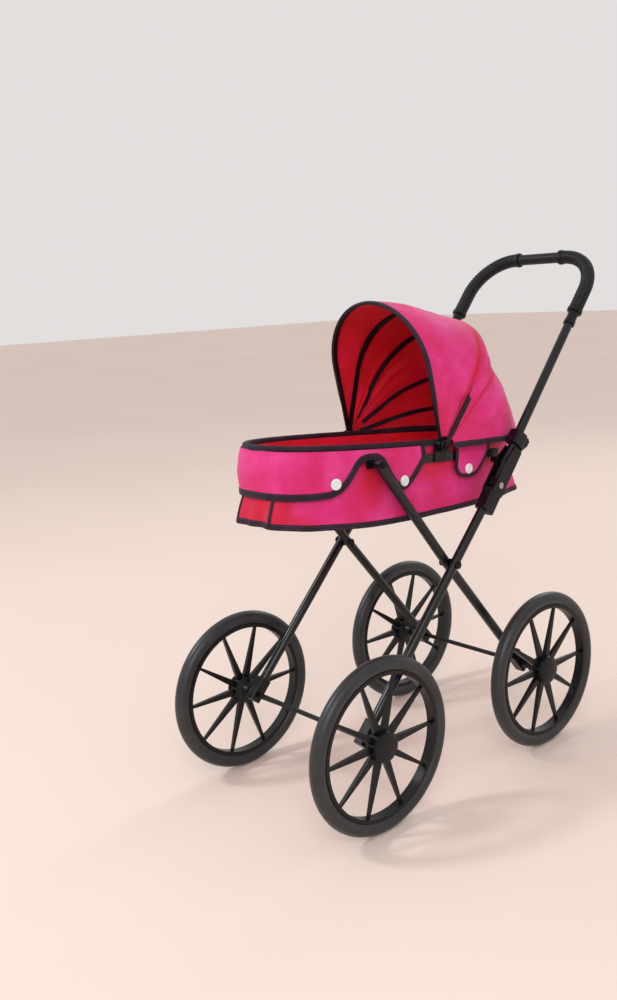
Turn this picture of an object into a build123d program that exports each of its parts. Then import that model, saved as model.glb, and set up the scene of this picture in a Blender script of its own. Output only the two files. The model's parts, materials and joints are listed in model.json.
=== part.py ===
from build123d import *
import os
from math import atan2, cos, degrees, hypot, radians, sin

# Doll pram, in millimetres. +Z is up, the foot end faces -Y and the push handle is at +Y.
# Everything is placed from the middle of the wheelbase on the floor, and moved at the end so that
# the origin is the bottom centre of the whole pram. Left is +X.

# Wheels
WHEEL_RADIUS = 88.0
TYRE_SECTION = 7.7
RIM_OUTER = 74.0
RIM_INNER = 70.2
RIM_WIDTH = 11.0
SPOKES = 10
HUB_RADIUS = 14.6
HUB_INNER_END = -15.6
CAP_RADIUS = 15.8
AXLE_RADIUS = 2.5
RUNNING_GAP = 0.06
FIT_GAP = 0.02
TRACK_HALF = 110.8
AXLE_HALF = 117.8
WHEELBASE = 256.2

# Frame tubes
TUBE_RADIUS = 5.0
TUBE_BORE = 4.2
FRONT_LEG_X = 88.2
REAR_LEG_X = 77.0
FRONT_AXLE = (-WHEELBASE / 2, WHEEL_RADIUS)
REAR_AXLE = (WHEELBASE / 2, WHEEL_RADIUS)
HANDLE_PIVOT = (80.0, 306.0)
SCISSOR = (10.3, 233.0)
LEG_PIVOT = (-79.5, 351.3)
RIVET_RADIUS = 2.0
BRACKET_HALF = 6.5

# Push handle, measured along its tubes from the handle pivot
HANDLE_REACH = 315.7
HANDLE_LEAN = 40.3
CORNER_RADIUS = 52.0
GRIP_START = 231.0
GRIP_END_X = 30.0
GRIP_RADIUS = 7.4
GRIP_COLLAR = 8.4
SLEEVE_RADIUS = 6.5
FERRULE_START = 214.0

# Hinge block and lock sleeve, x across, y away from the tube, z along it
BLOCK_X = (80.3, 96.1)
CHEEK_GAP = (82.9, 93.5)
BLOCK_FRONT = -8.0
BLOCK_BACK = 10.0
SLEEVE_LOW = 51.0
SLEEVE_HIGH = 67.0

# Bassinet: ovals are (half width, foot y, head y, exponent) at a depth below the rim
RIM_HEIGHT = 361.2
RIM_TILT = 4.75
RIM_OVAL = (64.5, -170.0, 180.5, 2.6)
RIM_WIRE = 2.0
RIM_BINDING = 3.2
WALL_TOP = -3.5
RAIL_X = (66.4, 68.8)
RAIL_TOP = -11.5
RAIL_BOTTOM = -20.5
REST_STUD = (101.0, 329.0)
CLOTH = 1.3
VALANCE_OVAL = (72.2, -174.5, 187.0, 2.8)
VALANCE_SNAPS = [(-120.6, -33.6), (-38.1, -35.7)]
TAB_X = (69.2, 70.4)
TAB_SNAP = (60.6, -30.5)

# Hood: bow angles are measured up from the head side, about the hood hinge
HOOD_HINGE = (16.7, 356.4)
BOW_SHOULDER = 80.0
BOW_WIDTH = 6.0
BOW_THICKNESS = 1.4
FRONT_BOW = (72.0, 100.0)
SECOND_BOW = (73.7, 75.0)
THIRD_BOW = (77.8, 50.0)
SECOND_BOW_DIP = 10.0
FRONT_PANEL = 74.9
MIDDLE_PANEL = 76.3
REAR_PANEL = 79.2
PANEL_THICKNESS = 1.0
PANEL_START = 9.0
HOOD_PIN = 2.2

# The bounding box's middle, behind the middle of the wheelbase
ORIGIN_Y = 38.245


def x_rod(radius, x_low, x_high, at):
    """Round bar along X through the point `at`, given as (y, z)."""
    middle = Pos((x_low + x_high) / 2, at[0], at[1])
    return middle * Rot(0, 90, 0) * Cylinder(radius, x_high - x_low)


def x_ring(outer, inner, x_low, x_high, at):
    return x_rod(outer, x_low, x_high, at) - x_rod(inner, x_low - 1, x_high + 1, at)


def block(x, y, z, radius=0.0):
    """Box between three (low, high) pairs, its long edges along Z rounded."""
    sizes = [high - low for low, high in (x, y, z)]
    centre = [(high + low) / 2 for low, high in (x, y, z)]
    box = Box(*sizes)
    if radius:
        box = fillet(box.edges().filter_by(Axis.Z), radius)
    return Pos(*centre) * box


def slab(outline, x_low, x_high):
    """Closed (y, z) outline of straight lines, thick in X."""
    face = make_face(Polyline(*outline, close=True))
    return extrude(Plane.YZ.offset(x_low) * face, x_high - x_low)


def lean_frame(base, tip):
    """Frame at `base` whose Z points to `tip`, both (y, z), and whose X stays X."""
    lean = degrees(atan2(tip[0] - base[0], tip[1] - base[1]))
    return Pos(0, base[0], base[1]) * Rot(-lean, 0, 0)


def both(shape):
    """The left piece and its mirror image, as two separate solids."""
    return Compound(children=[*shape.solids(), *mirror(shape, about=Plane.YZ).solids()])


HANDLE_FRAME = Pos(0, *HANDLE_PIVOT) * Rot(-HANDLE_LEAN, 0, 0)
FRONT_LEG_FRAME = lean_frame(FRONT_AXLE, HANDLE_PIVOT)
REAR_LEG_FRAME = lean_frame(REAR_AXLE, SCISSOR)
BASSINET_FRAME = Pos(0, 0, RIM_HEIGHT) * Rot(-RIM_TILT, 0, 0)
FRONT_LEG_LENGTH = hypot(HANDLE_PIVOT[0] - FRONT_AXLE[0], HANDLE_PIVOT[1] - FRONT_AXLE[1])


# ---- wheels ----

def tyre():
    section = Pos(0, WHEEL_RADIUS - TYRE_SECTION) * Circle(TYRE_SECTION)
    section -= Pos(0, RIM_OUTER - TYRE_SECTION) * Rectangle(4 * TYRE_SECTION, 2 * TYRE_SECTION)
    return revolve(section, Axis.X, 360)


def spoke(angle):
    """Blade that tapers from the hub to the rim."""
    root = Plane((0, 0, HUB_RADIUS - 2)) * Rectangle(5.0, 7.4)
    tip = Plane((0, 0, RIM_INNER + 0.6)) * Rectangle(3.2, 2.6)
    return Rot(angle, 0, 0) * loft([root, tip])


def wheel_moulding():
    """Rim, spokes and hub barrel in one moulding. -X is the inboard side."""
    rim = x_ring(RIM_OUTER, RIM_INNER, -RIM_WIDTH / 2, RIM_WIDTH / 2, (0, 0))
    bore = AXLE_RADIUS + RUNNING_GAP
    outside = [(HUB_INNER_END, 7.5), (-9, 8.5), (-5.5, HUB_RADIUS), (5, HUB_RADIUS), (5, 9), (8, 9)]
    nut_recess = [(8, 7), (3, 7), (3, bore), (HUB_INNER_END, bore)]
    hub = revolve(make_face(Polyline(*outside, *nut_recess, close=True)), Axis.X, 360)
    return rim + hub + [spoke(360 / SPOKES * (i + 0.5)) for i in range(SPOKES)]


def hub_cap():
    """Domed cover over the axle end."""
    rim = [(5.1, 9.1), (5.1, CAP_RADIUS - 0.6), (6.2, CAP_RADIUS), (8.4, CAP_RADIUS - 0.8)]
    dome = [(10.2, CAP_RADIUS - 4), (11.2, CAP_RADIUS - 10), (11.2, 0)]
    inside = [(9.4, 0), (9.4, 9.1)]
    return revolve(make_face(Polyline(*rim, *dome, *inside, close=True)), Axis.X, 360)


def export_wheels(save):
    corners = {"front": FRONT_AXLE, "rear": REAR_AXLE}
    for end, axle in corners.items():
        for side, turn in (("left", 0), ("right", 180)):
            x = TRACK_HALF if side == "left" else -TRACK_HALF
            place = Pos(x, *axle) * Rot(0, 0, turn)
            save(f"tyre_{end}_{side}", place * tyre())
            save(f"wheel_{end}_{side}", place * wheel_moulding())
            save(f"hub_cap_{end}_{side}", place * hub_cap())


# ---- legs, axles and scissor rivets ----

def axle_bracket(frame, leg_x):
    """Plastic end block that joins a leg to its axle."""
    x = (leg_x - BRACKET_HALF, leg_x + BRACKET_HALF)
    body = block(x, (-7, 7), (-8, 18), 2.0)
    body -= Pos(leg_x, 0, 12) * Cylinder(TUBE_RADIUS, 14)
    body -= x_rod(AXLE_RADIUS, x[0] - 1, x[1] + 1, (0, 0))
    return frame * body


def front_leg():
    length = FRONT_LEG_LENGTH - 9 - 5
    ring = Cylinder(TUBE_RADIUS, length) - Cylinder(TUBE_BORE, length)
    leg = FRONT_LEG_FRAME * Pos(FRONT_LEG_X, 0, 5 + length / 2) * ring
    return leg - x_rod(RIVET_RADIUS, FRONT_LEG_X - 9, FRONT_LEG_X + 9, SCISSOR)


def rear_leg():
    """Tube with a slight bend at the scissor rivet and a plugged, rounded top end."""
    base = REAR_LEG_FRAME * Pos(REAR_LEG_X, 0, 5)
    start = base.position
    path = FilletPolyline(start, (REAR_LEG_X, *SCISSOR), (REAR_LEG_X, *LEG_PIVOT), radius=150)
    leg = sweep(Plane(base) * (Circle(TUBE_RADIUS) - Circle(TUBE_BORE)), path)
    knuckle = x_rod(TUBE_RADIUS, REAR_LEG_X - 5, REAR_LEG_X + 5, LEG_PIVOT)
    plug = lean_frame(LEG_PIVOT, SCISSOR) * Pos(REAR_LEG_X, 0, 7.5) * Cylinder(TUBE_BORE, 15)
    leg += [knuckle, plug]
    for at in (SCISSOR, LEG_PIVOT):
        leg -= x_rod(RIVET_RADIUS + RUNNING_GAP, REAR_LEG_X - 9, REAR_LEG_X + 9, at)
    return leg


def scissor_rivet():
    inner = REAR_LEG_X - TUBE_RADIUS
    outer = FRONT_LEG_X + TUBE_RADIUS
    rivet = x_rod(RIVET_RADIUS, inner - 1.4, outer + 1.4, SCISSOR)
    rivet += x_rod(4.2, inner - 1.4, inner - 0.2, SCISSOR)
    return rivet + x_rod(4.2, outer + 0.1, outer + 1.6, SCISSOR)


def scissor_washer():
    low = REAR_LEG_X + TUBE_RADIUS + 0.15
    high = FRONT_LEG_X - TUBE_RADIUS
    return x_ring(5.2, RIVET_RADIUS, low, high, SCISSOR)


def push_nut(axle):
    return x_ring(5.4, AXLE_RADIUS, TRACK_HALF + 3.8, TRACK_HALF + 5.4, axle)


def export_frame(save):
    save("front_leg_left", front_leg())
    save("front_leg_right", mirror(front_leg(), about=Plane.YZ))
    save("rear_leg_left", rear_leg())
    save("rear_leg_right", mirror(rear_leg(), about=Plane.YZ))
    for end, axle, frame, leg_x in (("front", FRONT_AXLE, FRONT_LEG_FRAME, FRONT_LEG_X),
                                    ("rear", REAR_AXLE, REAR_LEG_FRAME, REAR_LEG_X)):
        save(f"{end}_axle", x_rod(AXLE_RADIUS, -AXLE_HALF, AXLE_HALF, axle))
        save(f"{end}_axle_bracket_left", axle_bracket(frame, leg_x))
        save(f"{end}_axle_bracket_right", mirror(axle_bracket(frame, leg_x), about=Plane.YZ))
        save(f"{end}_push_nuts", both(push_nut(axle)))
    spacer_end = TRACK_HALF + HUB_INNER_END - 0.3
    spacer = x_ring(5.0, AXLE_RADIUS, REAR_LEG_X + BRACKET_HALF, spacer_end, REAR_AXLE)
    save("rear_axle_spacers", both(spacer))
    save("scissor_rivets", both(scissor_rivet()))
    save("scissor_washers", both(scissor_washer()))


# ---- handle, hinge blocks and lock sleeves ----

def hinge_block():
    """Moulding on the leg's top end, with a channel that the handle tube swings into."""
    body = block(BLOCK_X, (BLOCK_FRONT, BLOCK_BACK), (-32, -7), 3.0)
    cheek_profile = [(-7.5, -10), (9.5, -10), (9.5, 46), (7, 48), (-3, 48), (-7.5, 30)]
    for low, high in ((BLOCK_X[0], CHEEK_GAP[0]), (CHEEK_GAP[1], BLOCK_X[1])):
        body += slab(cheek_profile, low, high)
    body += block(BLOCK_X, (6.0, BLOCK_BACK), (-10, 38), 1.5)
    body = HANDLE_FRAME * body
    body += x_rod(3.2, RAIL_X[0] + 1.2, BLOCK_X[0] + 1, REST_STUD)
    socket = FRONT_LEG_FRAME * Pos(FRONT_LEG_X, 0, FRONT_LEG_LENGTH - 29) * Cylinder(TUBE_RADIUS, 40)
    body -= socket
    return body - x_rod(RIVET_RADIUS, BLOCK_X[0] - 1, BLOCK_X[1] + 1, HANDLE_PIVOT)


def handle_rivet():
    rivet = x_rod(RIVET_RADIUS, BLOCK_X[0] - 0.1, BLOCK_X[1] + 0.5, HANDLE_PIVOT)
    return rivet + x_rod(3.6, BLOCK_X[1], BLOCK_X[1] + 1.2, HANDLE_PIVOT)


def lock_sleeve():
    """Collar round the handle tube, with a finger ear and a tail behind the channel."""
    collar = block((80.5, 95.9), (BLOCK_FRONT, 9.0), (SLEEVE_LOW, SLEEVE_HIGH), 3.0)
    ear_profile = [(6.5, 39.5), (11.5, 39.5), (13, 52), (17.5, 60), (18, 66), (14, 68.5), (6.5, 66)]
    collar += slab(ear_profile, 84.2, 92.2)
    collar -= Pos(FRONT_LEG_X, 0, 60) * Cylinder(TUBE_RADIUS + RUNNING_GAP, 60)
    return HANDLE_FRAME * collar


def handle_path(low, end_x):
    corner = (FRONT_LEG_X, 0, HANDLE_REACH)
    return FilletPolyline((FRONT_LEG_X, 0, low), corner, (end_x, 0, HANDLE_REACH),
                          radius=CORNER_RADIUS)


def handle_tube():
    low = 7.0
    top = FilletPolyline((FRONT_LEG_X, 0, low), (FRONT_LEG_X, 0, HANDLE_REACH),
                         (-FRONT_LEG_X, 0, HANDLE_REACH), (-FRONT_LEG_X, 0, low),
                         radius=CORNER_RADIUS)
    ring = Circle(TUBE_RADIUS) - Circle(TUBE_BORE)
    return HANDLE_FRAME * sweep(Plane((FRONT_LEG_X, 0, low)) * ring, top)


def handle_knuckle():
    """Solid end plug that turns on the handle rivet."""
    half = 4.8
    sides = Polyline((-half, 0), (-half, 6.9), (half, 6.9), (half, 0))
    profile = Curve() + [sides, ThreePointArc((half, 0), (0, -half), (-half, 0))]
    knuckle = extrude(Plane.YZ.offset(FRONT_LEG_X - 5) * make_face(profile), 10)
    knuckle += Pos(FRONT_LEG_X, 0, 12) * Cylinder(TUBE_BORE - FIT_GAP, 12)
    knuckle -= x_rod(RIVET_RADIUS + RUNNING_GAP, FRONT_LEG_X - 9, FRONT_LEG_X + 9, (0, 0))
    return HANDLE_FRAME * knuckle


def corner_grip():
    """Moulded grip round the handle's corner, with a collar at each end."""
    start = Plane((FRONT_LEG_X, 0, GRIP_START))
    grip = sweep(start * (Circle(GRIP_RADIUS) - Circle(TUBE_RADIUS)),
                 handle_path(GRIP_START, GRIP_END_X))
    lower = Pos(FRONT_LEG_X, 0, GRIP_START + 2.5) * Cylinder(GRIP_COLLAR, 5)
    upper = Pos(GRIP_END_X + 2.5, 0, HANDLE_REACH) * Rot(0, 90, 0) * Cylinder(GRIP_COLLAR, 5)
    bore = sweep(start * Circle(TUBE_RADIUS), handle_path(GRIP_START, GRIP_END_X))
    return HANDLE_FRAME * (grip + ((lower + upper) - bore))


def ferrule():
    """Two-step collar under a corner grip."""
    ring = Pos(FRONT_LEG_X, 0, FERRULE_START + 2.5) * Cylinder(6.6, 5)
    neck_length = GRIP_START - FERRULE_START - 5.1
    ring += Pos(FRONT_LEG_X, 0, FERRULE_START + 5 + neck_length / 2) * Cylinder(5.9, neck_length)
    return HANDLE_FRAME * (ring - Pos(FRONT_LEG_X, 0, 220) * Cylinder(TUBE_RADIUS, 40))


def export_handle(save):
    save("hinge_block_left", hinge_block())
    save("hinge_block_right", mirror(hinge_block(), about=Plane.YZ))
    save("handle_rivets", both(handle_rivet()))
    save("lock_sleeve_left", lock_sleeve())
    save("lock_sleeve_right", mirror(lock_sleeve(), about=Plane.YZ))
    save("handle_tube", handle_tube())
    save("handle_knuckles", both(handle_knuckle()))
    save("corner_grip_left", corner_grip())
    save("corner_grip_right", mirror(corner_grip(), about=Plane.YZ))
    sleeve = x_ring(SLEEVE_RADIUS, TUBE_RADIUS, -GRIP_END_X, GRIP_END_X, (0, HANDLE_REACH))
    save("centre_sleeve", HANDLE_FRAME * sleeve)
    save("handle_ferrules", both(ferrule()))


# ---- bassinet ----

def oval_face(half_width, foot, head, exponent, height=0.0, inset=0.0):
    """Superellipse in the rim's own frame, at a height above the rim."""
    count = 32
    across = half_width - inset
    along = (head - foot) / 2 - inset
    points = []
    for i in range(count):
        angle = radians(360 * i / count)
        c, s = cos(angle), sin(angle)
        x = across * abs(c) ** (2 / exponent) * (1 if c >= 0 else -1)
        y = along * abs(s) ** (2 / exponent) * (1 if s >= 0 else -1)
        points.append((x, (foot + head) / 2 + y, height))
    return make_face(Spline(*points, periodic=True))


def oval_shell(levels, thickness):
    """Open-ended wall through (oval, height) levels, top first."""
    outer = loft([oval_face(*oval, height) for oval, height in levels], ruled=True)
    inner = loft([oval_face(*oval, height, thickness) for oval, height in levels], ruled=True)
    return outer - inner


def tub():
    """Fabric tub with a flat bottom, open at the top."""
    top, bottom = (63.6, -167.5, 178.0, 2.6), (58.0, -157.5, 169.0, 2.6)
    outer = loft([oval_face(*top, WALL_TOP), oval_face(*bottom, -57)], ruled=True)
    inner = loft([oval_face(*top, WALL_TOP, CLOTH), oval_face(*bottom, -55.6, CLOTH)], ruled=True)
    return outer - inner


def base_board():
    return extrude(oval_face(55.5, -154.0, 165.5, 2.6, -55.5), 3.0)


def hem_line(y):
    """Height of the skirt's hem in the rim's frame: it rises at the foot end."""
    rise = 0.00036 * min(y, 0) ** 2
    return -73.5 + 0.062 * y + rise


def skirt():
    levels = [((65.8, -171.5, 182.0, 2.6), WALL_TOP), ((66.1, -172.0, 184.0, 2.7), -22),
              ((68.8, -176.0, 198.0, 3.0), -85)]
    wall = oval_shell(levels, CLOTH)
    edge = [(y, hem_line(y)) for y in (-200, -150, -100, -50, 0, 100, 206)]
    below = make_face(Curve() + [Spline(*edge), Polyline(edge[-1], (206, -120), (-200, -120), edge[0])])
    return wall - extrude(Plane.YZ.offset(-100) * below, 200)


def valance_region():
    """Side view of the valance: a scalloped edge with an arch over each leg pivot."""
    scallop = [(-160, -45.5), (-125, -44.5), (-112, -38), (-104, -27), (-96, -15), (-86, -10),
               (-73, -9.5), (-62, -20), (-50, -36), (-39, -42), (-28, -36), (-12, -18)]
    edge = Spline(*scallop)
    rest = Polyline((-12, -18), (-10, WALL_TOP), (-190, WALL_TOP), (-190, -45.5), (-160, -45.5))
    return extrude(Plane.YZ.offset(-100) * make_face(Curve() + [edge, rest]), 200)


def valance():
    levels = [((69.6, -173.7, 186.0, 2.8), WALL_TOP), (VALANCE_OVAL, -12), (VALANCE_OVAL, -50)]
    return oval_shell(levels, 1.2) & valance_region()


def rear_tab():
    outline = [(42, -6), (43, -30), (49, -37), (62, -38), (75, -35), (88, -19), (92, -8)]
    return slab(outline, *TAB_X)


def half_width_at(y, oval):
    half_width, foot, head, exponent = oval
    along = abs(2 * y - foot - head) / (head - foot)
    return half_width * (1 - along ** exponent) ** (1 / exponent)


def snap_button(x, slope, y, height):
    """Round stud on a wall at x that turns away by `slope` degrees."""
    return Pos(x + 0.75, y, height) * Rot(0, 0, -slope) * Rot(0, 90, 0) * Cylinder(5.6, 1.1)


def snap_buttons():
    """Two studs on the valance, square to its curve, and one on the flat rear tab."""
    buttons = [snap_button(TAB_X[1] - 0.1, 0, *TAB_SNAP)]
    for y, height in VALANCE_SNAPS:
        x = half_width_at(y, VALANCE_OVAL)
        change = half_width_at(y + 1, VALANCE_OVAL) - half_width_at(y - 1, VALANCE_OVAL)
        buttons.append(snap_button(x, degrees(atan2(change, 2)), y, height))
    return buttons


def side_rail():
    """Flat bar that carries the bassinet, hooked over the hinge block's stud at its rear end."""
    y, z = REST_STUD
    local_y = y * cos(radians(RIM_TILT))
    outline = [(-86, RAIL_BOTTOM), (-86, RAIL_TOP), (local_y + 12, RAIL_TOP),
               (local_y + 12, RAIL_BOTTOM - 8), (local_y + 7, RAIL_BOTTOM - 8),
               (local_y + 7, RAIL_BOTTOM), (-86, RAIL_BOTTOM)]
    bar = BASSINET_FRAME * slab(outline[:-1], *RAIL_X)
    return bar - x_rod(RIVET_RADIUS + FIT_GAP, RAIL_X[0] - 1, RAIL_X[1] + 1, LEG_PIVOT)


def leg_pivot_pin():
    pin = x_rod(RIVET_RADIUS, RAIL_X[0], REAR_LEG_X + TUBE_RADIUS + 0.3, LEG_PIVOT)
    pin += x_rod(3.4, REAR_LEG_X + TUBE_RADIUS + 0.1, REAR_LEG_X + TUBE_RADIUS + 0.9, LEG_PIVOT)
    boss = x_rod(4.0, RAIL_X[1], REAR_LEG_X - TUBE_RADIUS - 0.2, LEG_PIVOT)
    return pin + boss


def hood_bracket():
    plate = BASSINET_FRAME * slab([(8, RAIL_BOTTOM), (8, -2), (25, -2), (25, RAIL_BOTTOM)], 68.8, 70.3)
    plate += x_rod(7.5, 68.8, 70.3, HOOD_HINGE)
    return plate - x_rod(HOOD_PIN, 60, 80, HOOD_HINGE)


def hood_pin():
    return x_rod(HOOD_PIN, 68.8, 77.9, HOOD_HINGE) + x_rod(4.4, 77.8, 79.2, HOOD_HINGE)


def rim_sweep(section):
    loop = (BASSINET_FRAME * oval_face(*RIM_OVAL)).wire()
    return sweep(Plane(loop @ 0, z_dir=loop % 0) * section, loop)


def export_bassinet(save):
    save("rim_wire", rim_sweep(Circle(RIM_WIRE)))
    save("rim_binding", rim_sweep(Circle(RIM_BINDING) - Circle(RIM_WIRE)))
    save("tub", BASSINET_FRAME * tub())
    save("base_board", BASSINET_FRAME * base_board())
    save("skirt", BASSINET_FRAME * skirt())
    save("valance", BASSINET_FRAME * valance())
    save("rear_tabs", both(BASSINET_FRAME * rear_tab()))
    save("snap_buttons", both(BASSINET_FRAME * Compound(children=snap_buttons())))
    save("side_rail_left", side_rail())
    save("side_rail_right", mirror(side_rail(), about=Plane.YZ))
    save("leg_pivot_pins", both(leg_pivot_pin()))
    save("hood_bracket_left", hood_bracket())
    save("hood_bracket_right", mirror(hood_bracket(), about=Plane.YZ))
    save("hood_pivot_pins", both(hood_pin()))


# ---- hood ----

def hood_frame(angle):
    return Pos(0, *HOOD_HINGE) * Rot(angle - 90, 0, 0)


def arch_face(half_width, thickness, start=0.0, crown=0.0):
    """U-shaped band in the XZ plane: straight legs, then a round top with its crown raised."""
    def arch(width, top):
        legs = [Line((width, start), (width, BOW_SHOULDER)),
                Line((-width, BOW_SHOULDER), (-width, start))]
        round_top = ThreePointArc((width, BOW_SHOULDER), (0, top), (-width, BOW_SHOULDER))
        return make_face(Curve() + [legs[0], round_top, legs[1], Line((-width, start), (width, start))])
    outer = arch(half_width, BOW_SHOULDER + half_width + crown)
    inner = arch(half_width - thickness, BOW_SHOULDER + half_width + crown - thickness)
    return Plane.XZ * (outer - inner)


def bow(half_width, angle, dip=0.0):
    """Flat strip bent over the hood, with an eye on the hinge pin at each end."""
    strip = extrude(arch_face(half_width, BOW_THICKNESS, crown=-dip), BOW_WIDTH / 2, both=True)
    low = half_width - BOW_THICKNESS
    for x_low, x_high in ((low, half_width), (-half_width, -low)):
        strip += x_rod(6.5, x_low, x_high, (0, 0))
        strip -= x_rod(HOOD_PIN + RUNNING_GAP, x_low - 1, x_high + 1, (0, 0))
    return hood_frame(angle) * strip


def hood_panel(half_width, from_angle, to_angle):
    """Fabric between two bows, the arch turned about the hood hinge."""
    face = hood_frame(from_angle) * arch_face(half_width, PANEL_THICKNESS, PANEL_START)
    hinge = Axis((0, *HOOD_HINGE), (1, 0, 0))
    return revolve(face, hinge, to_angle - from_angle)


def rear_panel():
    """Fixed fabric behind the third bow, which swells out round the tub's head end."""
    sections = [(THIRD_BOW[1] + 2, 0.3), (36, 1.5), (23, 4.0), (9, 8.5), (-3, 14.0)]
    faces = [hood_frame(angle) * arch_face(REAR_PANEL, PANEL_THICKNESS, 50, crown)
             for angle, crown in sections]
    return loft(faces)


def export_hood(save):
    save("hood_bow_front", bow(*FRONT_BOW))
    save("hood_bow_second", bow(*SECOND_BOW, SECOND_BOW_DIP))
    save("hood_bow_third", bow(*THIRD_BOW))
    save("hood_panel_front", hood_panel(FRONT_PANEL, SECOND_BOW[1] - 1, FRONT_BOW[1] + 1))
    save("hood_panel_middle", hood_panel(MIDDLE_PANEL, THIRD_BOW[1] - 1, SECOND_BOW[1] + 1))
    save("hood_panel_rear", rear_panel())


def save_part(name, shape):
    export_step(Pos(0, -ORIGIN_Y, 0) * shape, f"parts/{name}.step")


os.makedirs("parts", exist_ok=True)
for export_group in (export_wheels, export_frame, export_handle, export_bassinet, export_hood):
    export_group(save_part)
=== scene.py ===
import json
from math import cos, pi, radians, sin

import bpy
import numpy as np
from mathutils import Matrix, Vector, noise


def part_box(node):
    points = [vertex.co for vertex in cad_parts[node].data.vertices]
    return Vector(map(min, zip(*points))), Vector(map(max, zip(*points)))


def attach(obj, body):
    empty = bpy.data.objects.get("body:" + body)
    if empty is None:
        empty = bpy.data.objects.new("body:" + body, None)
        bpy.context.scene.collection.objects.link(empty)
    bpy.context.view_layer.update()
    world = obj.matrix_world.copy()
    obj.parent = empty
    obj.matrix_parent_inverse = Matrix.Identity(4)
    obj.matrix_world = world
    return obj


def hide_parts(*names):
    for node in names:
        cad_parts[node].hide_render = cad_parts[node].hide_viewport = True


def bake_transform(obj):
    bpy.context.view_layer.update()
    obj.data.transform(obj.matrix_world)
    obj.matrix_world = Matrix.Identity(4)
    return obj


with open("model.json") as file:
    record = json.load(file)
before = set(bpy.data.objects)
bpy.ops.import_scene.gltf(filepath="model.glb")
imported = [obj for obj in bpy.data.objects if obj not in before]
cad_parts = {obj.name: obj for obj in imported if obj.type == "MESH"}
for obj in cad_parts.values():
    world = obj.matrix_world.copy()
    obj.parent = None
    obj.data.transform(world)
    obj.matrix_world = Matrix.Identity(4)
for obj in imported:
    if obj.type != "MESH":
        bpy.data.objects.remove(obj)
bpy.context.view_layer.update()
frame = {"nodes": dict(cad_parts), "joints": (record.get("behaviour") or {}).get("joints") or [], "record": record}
record = frame["record"]
MM = 0.001
SIDES = (("left", 1), ("right", -1))


# ---- helpers for shapes ----

def unit(vectors):
    return vectors / np.maximum(np.linalg.norm(vectors, axis=-1, keepdims=True), 1e-9)


def ramp(value, start, length):
    """0 up to `start`, 1 from `length` further on, and smooth between them."""
    t = np.clip((value - start) / length, 0, 1)
    return t * t * (3 - 2 * t)


def hump(value, middle, width):
    """Bell curve of height 1."""
    return np.exp(-((value - middle) / width) ** 2)


def ripple(point, scale, seed):
    """Smooth noise of about -1 to 1 at a point in metres, `scale` in metres."""
    return noise.noise(Vector(point) / scale + Vector((seed, seed * 0.7, -seed)))


def signed_power(value, power):
    return np.sign(value) * abs(value) ** power


def arc_lengths(points):
    """Distance of each point of a polyline from its first."""
    steps = np.linalg.norm(np.diff(points, axis=0), axis=1)
    return np.concatenate([[0], np.cumsum(steps)])


def interpolate(at, along, data):
    """The columns of `data`, known at the distances `along`, read at the distance or distances `at`."""
    return np.stack([np.interp(at, along, column) for column in data.T], -1)


def resample(points, count):
    """The polyline `points`, cut into `count` equal lengths."""
    points = np.asarray(points, float)
    along = arc_lengths(points)
    return interpolate(np.linspace(0, along[-1], count + 1), along, points)


# ---- the bassinet's, the hood's and the handle's own frames, in millimetres and degrees ----
# Bassinet: x across, y along the rim from the middle of the wheelbase, h above the rim.
# Hood: x across, r and angle about its hinge. Handle: x across, s up its legs from their hinge.
# An oval is a superellipse given as (half width, foot, head, exponent).

def joint_entry(name):
    return next(j for j in frame["joints"] if j["name"] == name)


BASSINET_UP = unit(np.array(record["mounts"][0]["axis"], float))
BASSINET_ALONG = np.array([0.0, BASSINET_UP[2], -BASSINET_UP[1]])
rim_low, rim_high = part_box("rim_wire")
RIM_CENTRE = np.array((rim_low + rim_high) / 2)
RIM_CENTRE_Y = 5.25
HINGE = np.array(joint_entry("hood_fold")["pos_m"])
HANDLE_PIVOT = np.array(joint_entry("handle_fold")["pos_m"])
HANDLE_UP = unit(np.array(joint_entry("lock_slide_left")["axis"], float))


def bassinet_point(x, y, h):
    return (RIM_CENTRE + np.array([x * MM, 0, 0]) + BASSINET_ALONG * (y - RIM_CENTRE_Y) * MM
            + BASSINET_UP * h * MM)


def hood_point(x, r, angle):
    """Point at radius r and `angle` degrees up from the head side, about the hood's hinge."""
    return HINGE + np.array([x, r * cos(radians(angle)), r * sin(radians(angle))]) * MM


def handle_point(x, s):
    return HANDLE_PIVOT + np.array([x * MM, 0, 0]) + HANDLE_UP * s * MM


def oval_point(oval, angle):
    half, foot, head, exponent = oval
    x = half * signed_power(cos(angle), 2 / exponent)
    y = (foot + head) / 2 + (head - foot) / 2 * signed_power(sin(angle), 2 / exponent)
    return x, y


def dense_oval(oval, count):
    return [oval_point(oval, 2 * pi * k / count) for k in range(count + 1)]


def oval_loop(oval, count, scale=1.0):
    """(x, y) points evenly spaced round an oval, from the +X side on, shrunk about its middle."""
    middle = (oval[1] + oval[2]) / 2
    loop = resample(dense_oval(oval, 1440), count)[:-1]
    return [(x * scale, middle + (y - middle) * scale) for x, y in loop]


def inset_oval(oval, inset):
    half, foot, head, exponent = oval
    return half - inset, foot + inset, head - inset, exponent


def oval_at(levels, h):
    """Oval at height h between (height, oval) levels, top first."""
    heights = [level[0] for level in levels][::-1]
    ovals = np.array([level[1] for level in levels])[::-1]
    return tuple(interpolate(h, heights, ovals))


def oval_normal(oval, x, y):
    """Outward direction in the rim's plane, at a point of an oval."""
    half, foot, head, exponent = oval
    along = (head - foot) / 2
    nx = signed_power(x / half, exponent - 1) / half
    ny = signed_power((y - (foot + head) / 2) / along, exponent - 1) / along
    size = max((nx * nx + ny * ny) ** 0.5, 1e-9)
    return np.array([nx / size, 0, 0]) + BASSINET_ALONG * ny / size


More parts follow.
